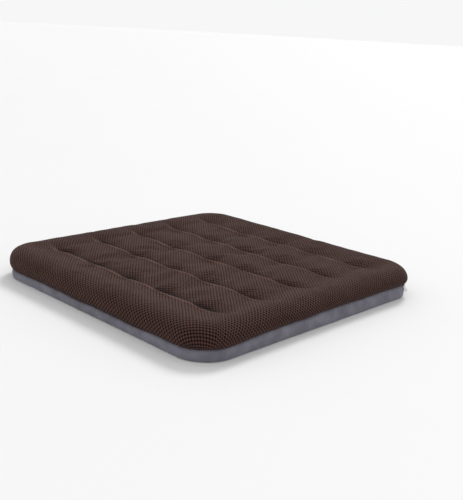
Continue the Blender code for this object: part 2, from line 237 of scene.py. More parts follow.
def bake_modifiers(piece):
    """Replaces a piece's mesh with its evaluated one, and clears its modifiers."""
    graph = bpy.context.evaluated_depsgraph_get()
    final = bpy.data.meshes.new_from_object(piece.evaluated_get(graph))
    piece.modifiers.clear()
    old = piece.data
    piece.data = final
    bpy.data.meshes.remove(old)


# ---------------------------------------------------------------- materials


def add_node(tree, kind, inputs=(), **settings):
    """Adds a shader node, sets its properties, and fills or links its inputs."""
    made = tree.nodes.new("ShaderNode" + kind)
    for name, value in settings.items():
        setattr(made, name, value)
    for key, value in dict(inputs).items():
        if isinstance(value, bpy.types.NodeSocket):
            tree.links.new(value, made.inputs[key])
        else:
            made.inputs[key].default_value = value
    return made


def calc(tree, operation, first, second=0.0, third=0.0, clamp=False):
    """Adds a Math node and returns its output."""
    inputs = {0: first, 1: second, 2: third}
    return add_node(tree, "Math", inputs, operation=operation, use_clamp=clamp).outputs[0]


def ramp(tree, value, low, high, to_low=0.0, to_high=1.0):
    """Smoothly maps a value from one range to another."""
    inputs = {"Value": value, "From Min": low, "From Max": high, "To Min": to_low, "To Max": to_high}
    return add_node(tree, "MapRange", inputs, interpolation_type="SMOOTHSTEP").outputs[0]


def blend(tree, factor, first, second):
    """Mixes two colours."""
    made = add_node(tree, "Mix", (), data_type="RGBA")
    for key, value in ((0, factor), (6, first), (7, second)):
        if isinstance(value, bpy.types.NodeSocket):
            tree.links.new(value, made.inputs[key])
        elif key == 0:
            made.inputs[key].default_value = value
        else:
            made.inputs[key].default_value = (*value, 1.0)
    return made.outputs[2]


def object_place(tree):
    """Position on the piece, in metres."""
    return add_node(tree, "TexCoord").outputs["Object"]


def cloudy(tree, place, scale, detail=3.0, roughness=0.55, stretch=(1, 1, 1)):
    """Noise value, with scale in cycles per metre."""
    mapped = add_node(tree, "Mapping", {"Vector": place, "Scale": stretch}).outputs[0]
    inputs = {"Vector": mapped, "Scale": scale, "Detail": detail, "Roughness": roughness}
    return add_node(tree, "TexNoise", inputs).outputs[0]


def stripe(tree, value, pitch, shift=0.0):
    """Cosine of a length along the cloth, with one cycle per pitch."""
    return calc(tree, "COSINE", calc(tree, "MULTIPLY_ADD", value, 2 * math.pi / pitch, shift))


def make_material(name, roughness, **fixed):
    """Returns a material's tree and its Principled shader, with constant sockets set on the shader."""
    material = bpy.data.materials.new(name)
    material.use_nodes = True
    tree = material.node_tree
    shader = tree.nodes["Principled BSDF"]
    shader.inputs["Roughness"].default_value = roughness
    for key, value in fixed.items():
        shader.inputs[key.replace("_", " ")].default_value = value
    return material, tree, shader


def connect(tree, shader, colour, roughness=None, height=None, depth=0.0, strength=1.0):
    """Links colour, roughness and bump height to a shader."""
    tree.links.new(colour, shader.inputs["Base Color"])
    if roughness is not None:
        tree.links.new(roughness, shader.inputs["Roughness"])
    if height is not None:
        inputs = {"Height": height, "Distance": depth, "Strength": strength}
        tree.links.new(add_node(tree, "Bump", inputs).outputs[0], shader.inputs["Normal"])


def spacer_mesh_material():
    """Open knitted spacer mesh: staggered holes between ribs that run front to back."""
    material, tree, shader = make_material(
        "spacer_mesh", 0.85, Sheen_Weight=0.09, Sheen_Roughness=0.30, Specular_IOR_Level=0.12
    )
    shader.inputs["Sheen Tint"].default_value = (0.80, 0.58, 0.50, 1.0)
    fabric = add_node(tree, "Attribute", (), attribute_name="fabric").outputs["Vector"]
    axes = add_node(tree, "SeparateXYZ", {0: fabric}).outputs
    wobble = cloudy(tree, fabric, 60, 2)
    across = calc(tree, "MULTIPLY_ADD", wobble, 0.0008, axes[0])
    along = calc(tree, "MULTIPLY_ADD", wobble, 0.0006, axes[1])
    checks = calc(tree, "MULTIPLY", stripe(tree, across, HOLE_X), stripe(tree, along, HOLE_Y))
    ribs = stripe(tree, across, HOLE_X / 2)
    fibres = cloudy(tree, fabric, 1500, 3, 0.7)
    rough_checks = calc(tree, "MULTIPLY_ADD", fibres, 0.4, calc(tree, "SUBTRACT", checks, 0.20))
    holes = ramp(tree, rough_checks, -0.32, 0.12)
    # Painted shade in the dimples and valleys, and painted highlight along the crests, stored per point
    # on the cover
    painted_shade_and_highlight = add_node(tree, "Attribute", (), attribute_name="wear_and_painted_light").outputs["Fac"]
    tone = cloudy(tree, fabric, 14, 2)
    tint = cloudy(tree, fabric, 31, 2)
    yarn = blend(tree, ramp(tree, tint, 0.35, 0.65), (0.140, 0.058, 0.044), (0.129, 0.059, 0.039))
    yarn = blend(tree, ramp(tree, tone, 0.30, 0.70), yarn, (0.165, 0.072, 0.057))
    lit = blend(tree, ramp(tree, ribs, -0.7, 0.7, 0.0, 0.72), yarn, (0.022, 0.009, 0.007))
    colour = blend(tree, holes, lit, (0.004, 0.002, 0.002))
    # Painted shade: darker at the tufts and in the valleys behind the rows
    colour = blend(tree, ramp(tree, painted_shade_and_highlight, 0.0, -0.85, 0.0, 0.90), colour, (0.008, 0.004, 0.003))
    # Painted highlight: lighter along the crests of the rows
    colour = blend(tree, ramp(tree, painted_shade_and_highlight, 0.10, 0.95, 0.0, 0.56), colour, (0.170, 0.084, 0.066))
    height = calc(tree, "MULTIPLY_ADD", holes, -1.0, calc(tree, "MULTIPLY", ribs, -0.25))
    connect(tree, shader, colour, ramp(tree, fibres, 0.3, 0.7, 0.78, 0.95), height, 0.0013, 1.0)
    return material


def suede_material(name, light, dark):
    """Soft brushed suede: a fine nap with cloudy shading."""
    material, tree, shader = make_material(
        name, 0.9, Sheen_Weight=0.35, Sheen_Roughness=0.4, Specular_IOR_Level=0.2
    )
    shader.inputs["Sheen Tint"].default_value = (0.80, 0.79, 0.86, 1.0)
    place = object_place(tree)
    clouds = cloudy(tree, place, 55, 4)
    nap = cloudy(tree, place, 1400, 2, 0.7)
    shade = calc(tree, "MULTIPLY_ADD", nap, 0.35, clouds)
    colour = blend(tree, ramp(tree, shade, 0.45, 0.90), dark, light)
    height = calc(tree, "MULTIPLY_ADD", nap, 0.6, clouds)
    connect(tree, shader, colour, ramp(tree, nap, 0.3, 0.7, 0.82, 0.98), height, 0.0005, 0.5)
    return material


def woven_material(name, light, dark, pitch, roughness=0.85, sheen=0.2):
    """Plain weave, with threads of the given pitch."""
    material, tree, shader = make_material(
        name, roughness, Sheen_Weight=sheen, Sheen_Roughness=0.5, Specular_IOR_Level=0.3
    )
    place = object_place(tree)
    axes = add_node(tree, "SeparateXYZ", {0: place}).outputs
    upright = calc(tree, "ADD", axes[1], axes[2])
    checks = calc(tree, "MULTIPLY", stripe(tree, axes[0], pitch), stripe(tree, upright, pitch))
    clouds = cloudy(tree, place, 70, 3)
    shade = calc(tree, "MULTIPLY_ADD", checks, 0.25, clouds)
    colour = blend(tree, ramp(tree, shade, 0.2, 0.8), dark, light)
    rough = ramp(tree, clouds, 0.3, 0.7, roughness - 0.08, roughness + 0.06)
    connect(tree, shader, colour, rough, checks, pitch / 5, 0.8)
    return material


def grip_material():
    """Base cloth with small rubber grip dots in a staggered grid."""
    material, tree, shader = make_material("grip_cloth", 0.8, Specular_IOR_Level=0.35)
    place = object_place(tree)
    axes = add_node(tree, "SeparateXYZ", {0: place}).outputs
    dots = calc(tree, "MULTIPLY", stripe(tree, axes[0], 0.014), stripe(tree, axes[1], 0.014))
    dots = ramp(tree, dots, 0.55, 0.68)
    weave = calc(tree, "MULTIPLY", stripe(tree, axes[0], 0.0012), stripe(tree, axes[1], 0.0012))
    clouds = cloudy(tree, place, 60, 3)
    cloth = blend(tree, clouds, (0.075, 0.073, 0.082), (0.135, 0.132, 0.146))
    colour = blend(tree, dots, cloth, (0.040, 0.040, 0.044))
    rough = ramp(tree, dots, 0.0, 1.0, 0.90, 0.50)
    height = calc(tree, "MULTIPLY_ADD", weave, 0.12, dots)
    connect(tree, shader, colour, rough, height, 0.0007)
    return material


def fibre_material(name, light, dark, scale):
    """Loose fibre or open foam, with small dark pores."""
    material, tree, shader = make_material(name, 0.95, Sheen_Weight=0.3, Specular_IOR_Level=0.2)
    place = object_place(tree)
    inputs = {"Vector": place, "Scale": scale, "Randomness": 1.0}
    pores = add_node(tree, "TexVoronoi", inputs).outputs["Distance"]
    clouds = cloudy(tree, place, 25, 4)
    shade = calc(tree, "MULTIPLY_ADD", pores, 0.7, calc(tree, "MULTIPLY", clouds, 0.6))
    colour = blend(tree, ramp(tree, shade, 0.15, 0.65), dark, light)
    connect(tree, shader, colour, ramp(tree, clouds, 0.3, 0.7, 0.86, 1.0), pores, 0.4 / scale, 0.7)
    return material


def thread_material(name, light, dark):
    """Twisted sewing thread."""
    material, tree, shader = make_material(name, 0.6, Sheen_Weight=0.2, Specular_IOR_Level=0.4)
    place = object_place(tree)
    axes = add_node(tree, "SeparateXYZ", {0: place}).outputs
    slant = calc(tree, "ADD", axes[0], calc(tree, "ADD", axes[1], axes[2]))
    twist = stripe(tree, slant, 0.0006)
    clouds = cloudy(tree, place, 400, 2)
    colour = blend(tree, ramp(tree, twist, -1.0, 1.0), dark, light)
    connect(tree, shader, colour, ramp(tree, clouds, 0.3, 0.7, 0.5, 0.7), twist, 0.0001, 0.8)
    return material


def nylon_material():
    """Moulded nylon of the zip's coil."""
    material, tree, shader = make_material("coil_nylon", 0.4, Specular_IOR_Level=0.5)
    clouds = cloudy(tree, object_place(tree), 350, 3)
    colour = blend(tree, clouds, (0.070, 0.068, 0.076), (0.150, 0.147, 0.160))
    rough = ramp(tree, clouds, 0.3, 0.7, 0.32, 0.52)
    connect(tree, shader, colour, rough, clouds, 0.0001, 0.4)
    return material


def metal_material():
    """Worn plated metal of the slider, its tab and the stops."""
    material, tree, shader = make_material("plated_metal", 0.3, Metallic=1.0)
    place = object_place(tree)
    scratches = cloudy(tree, place, 900, 4, 0.6, (1, 1, 0.15))
    wear_and_painted_light = cloudy(tree, place, 240, 3)
    colour = blend(tree, ramp(tree, wear_and_painted_light, 0.4, 0.7), (0.42, 0.42, 0.44), (0.62, 0.61, 0.62))
    rough = ramp(tree, scratches, 0.3, 0.7, 0.22, 0.42)
    connect(tree, shader, colour, rough, scratches, 0.00006, 0.6)
    return material


def satin_material():
    """Satin ribbon of the seam label."""
    material, tree, shader = make_material("label_satin", 0.4, Sheen_Weight=0.4, Anisotropic=0.4)
    place = object_place(tree)
    axes = add_node(tree, "SeparateXYZ", {0: place}).outputs
    ribs = stripe(tree, axes[2], 0.0005)
    clouds = cloudy(tree, place, 300, 2)
    colour = blend(tree, clouds, (0.50, 0.51, 0.54), (0.66, 0.67, 0.70))
    connect(tree, shader, colour, ramp(tree, clouds, 0.3, 0.7, 0.34, 0.5), ribs, 0.0001, 0.6)
    return material


def floor_material():
    """Plain pale floor."""
    material, tree, shader = make_material("pale_floor", 0.7, Specular_IOR_Level=0.2)
    clouds = cloudy(tree, object_place(tree), 2, 2)
    colour = blend(tree, clouds, (0.672, 0.672, 0.670), (0.684, 0.684, 0.682))
    connect(tree, shader, colour)
    return material


SPACER_MESH = spacer_mesh_material()
SUEDE = suede_material("grey_suede", (0.166, 0.160, 0.189), (0.108, 0.104, 0.125))
GRIP = grip_material()
WADDING = fibre_material("wadding_fibre", (0.80, 0.79, 0.77), (0.60, 0.59, 0.57), 900)
BACKING = woven_material("backing_weave", (0.62, 0.61, 0.59), (0.46, 0.45, 0.43), 0.0009)
LINER = woven_material("liner_knit", (0.74, 0.74, 0.72), (0.55, 0.55, 0.53), 0.0014)
FOAM = fibre_material("foam_cells", (0.82, 0.76, 0.62), (0.62, 0.55, 0.41), 700)
TAPE = woven_material("tape_weave", (0.165, 0.160, 0.180), (0.080, 0.078, 0.088), 0.0008)
BROWN_THREAD = thread_material("tack_thread", (0.085, 0.050, 0.043), (0.030, 0.017, 0.015))
GREY_THREAD = thread_material("band_thread", (0.230, 0.224, 0.250), (0.110, 0.106, 0.122))
NYLON = nylon_material()
METAL = metal_material()
SATIN = satin_material()


# ---------------------------------------------------------------- outline of the cushion


def outline(inset, shares, radius=None):
    """Points and outward directions on all four sides of the rounded square.

    The shares run from -1 to 1 along each side, between the middles of its two corners.
    """
    half = SIDE / 2 - inset
    radius = max(CORNER_RADIUS * (1 - inset / BORDER), 1e-5) if radius is None else radius
    straight = half - radius
    along = shares * (straight + radius * math.pi / 4)
    turn = np.clip(np.abs(along) - straight, 0, None) / radius
    x = np.sign(along) * (np.minimum(np.abs(along), straight) + radius * np.sin(turn))
    y = -half + radius * (1 - np.cos(turn))
    out_x, out_y = np.sign(along) * np.sin(turn), -np.cos(turn)
    points, outward = [], []
    for _ in range(4):
        points.append(np.column_stack([x, y]))
        outward.append(np.column_stack([out_x, out_y]))
        x, y = -y, x
        out_x, out_y = -out_y, out_x
    return np.vstack(points), np.vstack(outward)


def seam_lift(x, y):
    """How far the top seam is above its CAD height."""
    angle = np.degrees(np.arctan2(y, x))
    stops = np.array(SEAM_LIFT)
    fine = np.linspace(-180, 180, 361)
    level = np.interp(fine, stops[:, 0], stops[:, 1])
    kernel = np.hanning(25) / np.hanning(25).sum()
    level = np.convolve(np.concatenate([level[-13:-1], level, level[1:13]]), kernel, "valid")
    gentle = wave((angle * 0.21 + 0.6, 0.0004), (angle * 0.43 + 2.0, 0.00025))
    rear = eased(y, SIDE * 0.40, SIDE * 0.46)
    return np.interp(angle, fine, level) + gentle * (1 - rear)


def uneven(points, scale, seed):
    """Smooth seeded noise from -1 to 1 at each point."""
    shift = Vector((seed * 1.7, seed * 3.1, seed * 0.9))
    return np.array([noise.noise(Vector(point) * scale + shift) for point in points])


# ---------------------------------------------------------------- quilted top


def row_ends(x):
    """How much of each row is left beyond its last tufts, and how far the row hooks to the rear there."""
    side = np.where(x > 0, 0.058, 0.040)
    beyond = np.clip(np.abs(x) + FIRST_TUFT, 0, None)
    return 1 - eased(beyond, 0.2 * side, side), np.where(x > 0, 2.6, 1.2) * beyond**2 * 1.6


def wear_and_painted_light(x, y):
    """Painted shade and highlight on the cover: from -1, painted shade at the tufts where the cloth is
    pulled tight and in the valleys behind the rows, to 1, a painted highlight along the crests of the
    rows.
    """
    fade, hook = row_ends(x)
    total = np.zeros(len(x))
    for line in TUFT_LINES:
        across = y - line - hook
        total += np.exp(-(((across + CREST_PLACE) / PAINTED_HIGHLIGHT_WIDTH) ** 2)) * fade
        total -= PAINTED_VALLEY_SHADE * np.exp(-(((across - PAINTED_SHADE_SHIFT) / VALLEY_FRONT) ** 2)) * fade
        for tuft in TUFT_LINES:
            near_x = np.abs(x - tuft) / DIMPLE_X
            near_y = np.abs(y - line - PAINTED_SHADE_SHIFT) / PAINTED_SHADE_DEPTH
            total -= np.exp(-(near_x**2.0) - near_y**2.0)
    return np.clip(total, -1, 1)


def relief(x, y):
    """How far the quilting pulls the surface down: a groove on each row, and a dimple at each tuft."""
    fade, hook = row_ends(x)
    nearest_x = np.min(np.abs(x[:, None] - TUFT_LINES), axis=1)
    column = COLUMN_DEPTH * np.exp(-((nearest_x / 0.016) ** 2))
    column *= 1 - eased(np.abs(y), -FIRST_TUFT, -FIRST_TUFT + 0.030)
    total = column
    for line in TUFT_LINES:
        across = y - line - hook
        total = total - CREST_LIP * np.exp(-(((across + CREST_PLACE) / CREST_WIDTH) ** 2)) * fade
        front = np.exp(-((np.abs(across) / VALLEY_FRONT) ** 1.7))
        rear = 0.6 * np.exp(-((np.abs(across) / VALLEY_REAR) ** 1.6))
        rear = rear + 0.4 * np.clip(1 - across / (0.9 * PITCH), 0, 1)
        total = total + VALLEY_DEPTH * np.where(across < 0, front, rear) * fade
        for tuft in TUFT_LINES:
            near_x = np.abs(x - tuft) / DIMPLE_X
            near_y = np.abs(y - line) / np.where(y < line, DIMPLE_FRONT, DIMPLE_REAR)
            total = total + DIMPLE_DEPTH * np.exp(-(near_x**1.8) - near_y**1.9)
    return total


def quilted_top(cells, rings, drop=0.0, inset=0.0, ring_share=1.0):
    """Builds the open quilted surface. Returns its points, its cloth coordinates, faces and seam loop."""
    count = int(round(FIELD_HALF / PITCH * cells))
    lines = np.arange(-count, count + 1) / count * FIELD_HALF
    size = len(lines)
    grid_x, grid_y = np.meshgrid(lines, lines, indexing="ij")
    x, y = grid_x.ravel(), grid_y.ravel()
    middle = np.hypot(x, y) / FIELD_HALF
    edge_height = ROLL[0][1] * HEIGHT
    base = edge_height - (edge_height - FIELD_HEIGHT) * np.clip(1 - middle**2 / 1.6, 0, 1)
    z = base - relief(x, y)
    field = np.column_stack([x, y, z])
    step = lines[1] - lines[0]
    rises = np.diff(z.reshape(size, size), axis=1)
    steps = np.hypot(step, rises).mean(axis=0)
    arc = np.concatenate([[0], np.cumsum(steps)])
    arc -= arc[count]
    cloth = np.column_stack([x, np.tile(arc, size)])
    faces = []
    for i in range(size - 1):
        for j in range(size - 1):
            corner = i * size + j
            faces.append((corner, corner + size, corner + size + 1, corner + 1))
    last = size - 1
    loop = [i * size for i in range(last)]
    loop += [last * size + j for j in range(last)]
    loop += [i * size + last for i in range(last, 0, -1)]
    loop += list(range(last, 0, -1))
    loop = np.array(loop)
    shares = lines[:-1] / FIELD_HALF
    start_plan, _ = outline(BORDER, shares, 1e-5)
    start_cloth = cloth[loop]
    profile = smooth_curve([(a * BORDER, b * HEIGHT) for a, b in ROLL], rings + 1)
    steps = np.linalg.norm(np.diff(profile, axis=0), axis=1)
    travelled = np.concatenate([[0], np.cumsum(steps)])
    points, cloths = [field], [cloth]
    kept = int(round(rings * ring_share))
    for ring in range(1, kept + 1):
        distance, height = profile[ring]
        plan, outward = outline(distance, shares)
        spare = travelled[ring] - (BORDER - distance)
        out = plan - outward * inset
        low = eased(-height, -0.036, -0.0175)
        pull = 0.0016 * (1 - np.tile(shares, 4) ** 2) * eased(-distance, -BORDER, -BORDER * 0.3)
        out -= outward * pull[:, None]
        lift = seam_lift(out[:, 0], out[:, 1]) * low
        sink = relief(out[:, 0], out[:, 1]) * eased(distance, BORDER * 0.15, BORDER * 0.6)
        points.append(np.column_stack([out, height + lift - sink]))
        cloths.append(start_cloth + (plan - start_plan) + outward * spare)
        first = len(x) + (ring - 1) * len(loop)
        fresh = first + np.arange(len(loop))
        for index in range(len(loop)):
            after = (index + 1) % len(loop)
            faces.append((loop[index], fresh[index], fresh[after], loop[after]))
        loop = fresh
    points, cloth = np.vstack(points), np.vstack(cloths)
    points[:, 2] -= drop
    return points, cloth, faces, loop


def add_cloth_coordinates(mesh, cloth):
    """Stores how far each point is along and across the cloth."""
    attribute = mesh.attributes.new("fabric", "FLOAT_VECTOR", "POINT")
    values = np.column_stack([cloth, np.zeros(len(cloth))])
    attribute.data.foreach_set("vector", values.astype(np.float32).ravel())


def swell(piece, hold, reach):
    """Swells a piece as cloth under air pressure.

    Hold is 1 where it is sewn down, and reach is how far each point may move.
    """
    start = coordinates(piece.data)
    group = piece.vertex_groups.new(name="sewn")
    for level in np.unique(hold):
        group.add([int(i) for i in np.flatnonzero(hold == level)], float(level), "REPLACE")
    cloth = piece.modifiers.new("swell", "CLOTH")
    settings = cloth.settings
    settings.quality = 6
    settings.mass = 0.15
    settings.tension_stiffness = 20
    settings.compression_stiffness = 20
    settings.shear_stiffness = 8
    settings.bending_stiffness = 4.0
    settings.vertex_group_mass = "sewn"
    settings.pin_stiffness = 0.6
    settings.shrink_min = -0.012
    settings.use_pressure = True
    settings.uniform_pressure_force = 1.5
    settings.effector_weights.gravity = 0
    cloth.collision_settings.use_collision = False
    cloth.point_cache.frame_start = 1
    cloth.point_cache.frame_end = SWELL_FRAMES
    for number in range(1, SWELL_FRAMES + 1):
        bpy.context.scene.frame_set(number)
    graph = bpy.context.evaluated_depsgraph_get()
    end = coordinates(piece.evaluated_get(graph).data)
    piece.modifiers.clear()
    piece.vertex_groups.clear()
    bpy.context.scene.frame_set(1)
    move = end - start
    far = np.maximum(np.linalg.norm(move, axis=1), 1e-9)
    move *= (np.minimum(far, reach) / far)[:, None]
    set_coordinates(piece.data, start + move)


def sewn_down(points, loop):
    """How firmly each point is held: fully at the tufts and the seam, and hardly elsewhere."""
    hold = np.full(len(points), 0.10)
    for row in TUFT_LINES:
        for column in TUFT_LINES:
            near_x = np.abs(points[:, 0] - column) < SEWN_X
            near_y = np.abs(points[:, 1] - row) < SEWN_Y
            hold[near_x & near_y] = 1.0
    hold[loop] = 1.0
    return hold


def make_top():
    """The quilted spacer-mesh cover, as a closed 3 mm sheet."""
    points, cloth, faces, loop = quilted_top(CELLS, RINGS)
    bumps = uneven(points, 22, 1) * 0.0007 + uneven(points, 55, 2) * 0.0004
    loose = np.ones(len(points))
    loose[loop] = 0
    points[:, 2] += bumps * loose
    piece = make_piece("quilted_mesh_cover", points, faces, SPACER_MESH)
    add_cloth_coordinates(piece.data, cloth)
    # Painted shade at the tufts and valleys, and painted highlight on the crests, stored per point
    painted_shade_and_highlight = piece.data.attributes.new("wear_and_painted_light", "FLOAT", "POINT")
    painted_shade_and_highlight.data.foreach_set("value", wear_and_painted_light(points[:, 0], points[:, 1]).astype(np.float32))
    edge = np.max(np.abs(points[:, :2]), axis=1)
    held = eased(edge, FIELD_HALF - 0.010, FIELD_HALF + 0.025)
    reach = SWELL_REACH - SWELL_HELD * held
    swell(piece, sewn_down(points, loop), reach)
    coarse = coordinates(piece.data)
    inward = vertex_normals(piece.data)
    smoothing = piece.modifiers.new("smoothing", "SUBSURF")
    smoothing.levels = smoothing.render_levels = 1
    bake_modifiers(piece)
    mesh_data = bmesh.new()
    mesh_data.from_mesh(piece.data)
    mesh_data.verts.ensure_lookup_table()
    outer = list(mesh_data.verts)
    layer = mesh_data.verts.layers.float_vector["fabric"]
    inner = []
    for index, point in enumerate(coarse - inward * SHEET_THICKNESS):
        vert = mesh_data.verts.new(point)
        vert[layer] = outer[index][layer]
        inner.append(vert)
    for face in faces:
        mesh_data.faces.new([inner[index] for index in reversed(face)])
    for index, first in enumerate(loop):
        second = loop[(index + 1) % len(loop)]
        shared = [edge.other_vert(outer[first]) for edge in outer[first].link_edges]
        others = {edge.other_vert(outer[second]) for edge in outer[second].link_edges}
        middle = next(vert for vert in shared if vert in others)
        mesh_data.faces.new((outer[first], middle, outer[second], inner[second], inner[first]))
    bmesh.ops.recalc_face_normals(mesh_data, faces=mesh_data.faces)
    for face in mesh_data.faces:
        face.smooth = True
    mesh_data.to_mesh(piece.data)
    mesh_data.free()
    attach(piece, "cushion")
    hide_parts("top_mesh_panel")


# ---------------------------------------------------------------- strips of cloth


def outline_path(distances):
    """Points and outward directions at distances along the outline, from the middle of the front edge."""
    straight = SIDE / 2 - CORNER_RADIUS
    side = 2 * straight + CORNER_RADIUS * math.pi / 2
    shifted = np.asarray(distances, float) + side / 2
    turns = np.floor(shifted / side)
    along = shifted - turns * side - side / 2
    bend = np.clip(np.abs(along) - straight, 0, None) / CORNER_RADIUS
    x = np.sign(along) * (np.minimum(np.abs(along), straight) + CORNER_RADIUS * np.sin(bend))
    y = -SIDE / 2 + CORNER_RADIUS * (1 - np.cos(bend))
    out_x, out_y = np.sign(along) * np.sin(bend), -np.cos(bend)
    cosine, sine = np.cos(turns * math.pi / 2), np.sin(turns * math.pi / 2)
    plan = np.column_stack([x * cosine - y * sine, x * sine + y * cosine])
    return plan, np.column_stack([out_x * cosine - out_y * sine, out_x * sine + out_y * cosine])


def distance_at_side(y):
    """Distance along the outline from the middle of the front edge to a place on the right edge."""
    straight = SIDE / 2 - CORNER_RADIUS
    return 2 * straight + CORNER_RADIUS * math.pi / 2 + y


def grid_faces(rows, columns, start=0):
    """Quads of a grid of points that is stored row by row."""
    faces = []
    for row in range(rows - 1):
        for column in range(columns - 1):
            corner = start + row * columns + column
            faces.append((corner, corner + 1, corner + columns + 1, corner + columns))
    return faces


def closed_sheet(name, outer, inner, material):
    """Joins an outer and an inner grid of points into a closed sheet."""
    rows, columns = outer.shape[:2]
    count = rows * columns
    points = np.vstack([outer.reshape(-1, 3), inner.reshape(-1, 3)])
    faces = grid_faces(rows, columns)
    faces += [tuple(reversed(face)) for face in grid_faces(rows, columns, count)]
    rim = list(range(columns - 1))
    rim += [row * columns + columns - 1 for row in range(rows - 1)]
    rim += [(rows - 1) * columns + column for column in range(columns - 1, 0, -1)]
    rim += [row * columns for row in range(rows - 1, 0, -1)]
    for index, first in enumerate(rim):
        second = rim[(index + 1) % len(rim)]
        faces.append((second, first, first + count, second + count))
    piece = make_piece(name, points, faces, material)
    face_outwards(piece)
    piece.data.set_sharp_from_angle(angle=math.radians(60))
    return piece


def band_piece(name, start, end, nodes, seed, slants=(0, 0), lips=(0, 0)):
    """One length of the suede band, with soft wrinkles, between two distances along the outline.

    Slants say how far the top of each end leans along the band, and lips how far the end stands proud.
    """
    columns = int(abs(end - start) / 0.0024)
    rows = 11
    shares = np.linspace(0, 1, columns)
    up = np.linspace(0, 1, rows)
    distance = start + (end - start) * shares
    curve = 1 - (1 - up) ** 2
    near_start = 1 - eased(np.abs(distance - start), 0, LEAN_REACH)
    near_end = 1 - eased(np.abs(distance - end), 0, LEAN_REACH)
    outer = np.zeros((rows, columns, 3))
    inner = np.zeros((rows, columns, 3))
    for row, height in enumerate(up):
        lean = (slants[0] * near_start + slants[1] * near_end) * curve[row]
        plan, outward = outline_path(distance + lean)
        top = SEAM + seam_lift(plan[:, 0], plan[:, 1]) + 0.0006
        z = BAND_LOW.z * 0.5 + (top - BAND_LOW.z * 0.5) * height
        belly = BAND_BELLY * math.sin(math.pi * min(height * 1.05, 1.0)) ** 0.7
        tuck = 0.0022 * max(0, (height - 0.86) / 0.14) ** 1.5
        tuck += 0.0005 * max(0, (0.10 - height) / 0.10) ** 1.5
        folds = uneven(np.column_stack([distance + lean + z * 0.6, z * 0.35, z * 0]), 75, seed)
        broad = uneven(np.column_stack([distance + lean, z * 0.2, z * 0]), 20, seed + 3)
        ends = lips[0] * (1 - eased(np.abs(distance - start), 0.0, 0.004))
        ends = ends + lips[1] * (1 - eased(np.abs(distance - end), 0.0, 0.004))
        ridge = 0.0005 * np.exp(-(((np.abs(distance - start) - 0.008) / 0.0022) ** 2))
        ridge = ridge * (slants[0] != 0)
        wrinkles = (folds * BAND_FOLD + broad * BAND_WAVE) * math.sin(math.pi * height) ** 0.5
        out = -BAND_INSET + belly - tuck + wrinkles
        out = out + ends + ridge
        outer[row] = np.column_stack([plan + outward * out[:, None], z])
        inner[row] = np.column_stack([plan + outward * (out - BAND_THICKNESS)[:, None], z])
    piece = closed_sheet(name, outer, inner, SUEDE)
    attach(piece, "cushion")
    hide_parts(*nodes)
    return piece


def make_band():
    """The band in three lengths, with slanted joins on the left and right sides."""
    join = distance_at_side(BAND_JOIN_Y)
    rear = distance_at_side(SIDE / 2 - CORNER_RADIUS) + CORNER_RADIUS * math.pi / 2
    slant = JOIN_SLANT
    front, lips = ["band_front"], (JOIN_LIP, JOIN_LIP)
    band_piece("suede_band_front", -join + slant, join - slant, front, 5, (-slant, slant), lips)
    right = ["band_rear_right"]
    start, end = join - slant + JOIN_GAP, rear - 0.0004
    band_piece("suede_band_rear_right", start, end, right, 6, (slant, 0))
    left = ["band_rear_left"]
    band_piece("suede_band_rear_left", slant - join - JOIN_GAP, 0.0004 - rear, left, 7, (-slant, 0))


def flat_strip(name, node, material, waviness, seed):
    """A straight strip of cloth in the place of a CAD box along X, slightly wavy, with rounded edges."""
    low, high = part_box(node)
    columns = int((high.x - low.x) / 0.003)
    rows = 7
    x = np.linspace(low.x, high.x, columns)
    outer = np.zeros((rows, columns, 3))
    inner = np.zeros((rows, columns, 3))
    for row, share in enumerate(np.linspace(0, 1, rows)):
        z = np.full(columns, low.z + (high.z - low.z) * share)
        wavy = uneven(np.column_stack([x, z * 0.5, z * 0]), 45, seed) * waviness
        round_off = 0.0003 * (abs(2 * share - 1)) ** 6
        face = high.y + wavy - round_off
        back = low.y + 0.0001 + wavy * 0.4 + round_off
        outer[row] = np.column_stack([x, np.maximum(face, back + 0.0002), z])
        inner[row] = np.column_stack([x, back, z])
    piece = closed_sheet(name, outer, inner, material)
    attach(piece, "cushion")
    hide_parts(node)


# ---------------------------------------------------------------- thread and zip


def add_tube(points, faces, centres, radius, sides=6):
    """Adds a tube along a line of points, narrower at its two ends."""
    centres = np.array(centres, float)
    start = len(points)
    ahead = np.gradient(centres, axis=0)
    ahead /= np.linalg.norm(ahead, axis=1)[:, None]
    side = np.cross(ahead, (0.31, 0.17, 0.93))
    side /= np.linalg.norm(side, axis=1)[:, None]
    upper = np.cross(side, ahead)
    for index, centre in enumerate(centres):
        end = index in (0, len(centres) - 1)
        size = radius * (0.55 if end else 1)
        for turn in range(sides):
            angle = 2 * math.pi * turn / sides
            around = math.cos(angle) * side[index] + math.sin(angle) * upper[index]
            points.append(centre + size * around)
    for index in range(len(centres) - 1):
        for turn in range(sides):
            first = start + index * sides + turn
            second = start + index * sides + (turn + 1) % sides
            faces.append((first, second, second + sides, first + sides))
    faces.append(tuple(start + turn for turn in reversed(range(sides))))
    last = start + (len(centres) - 1) * sides
    faces.append(tuple(last + turn for turn in range(sides)))


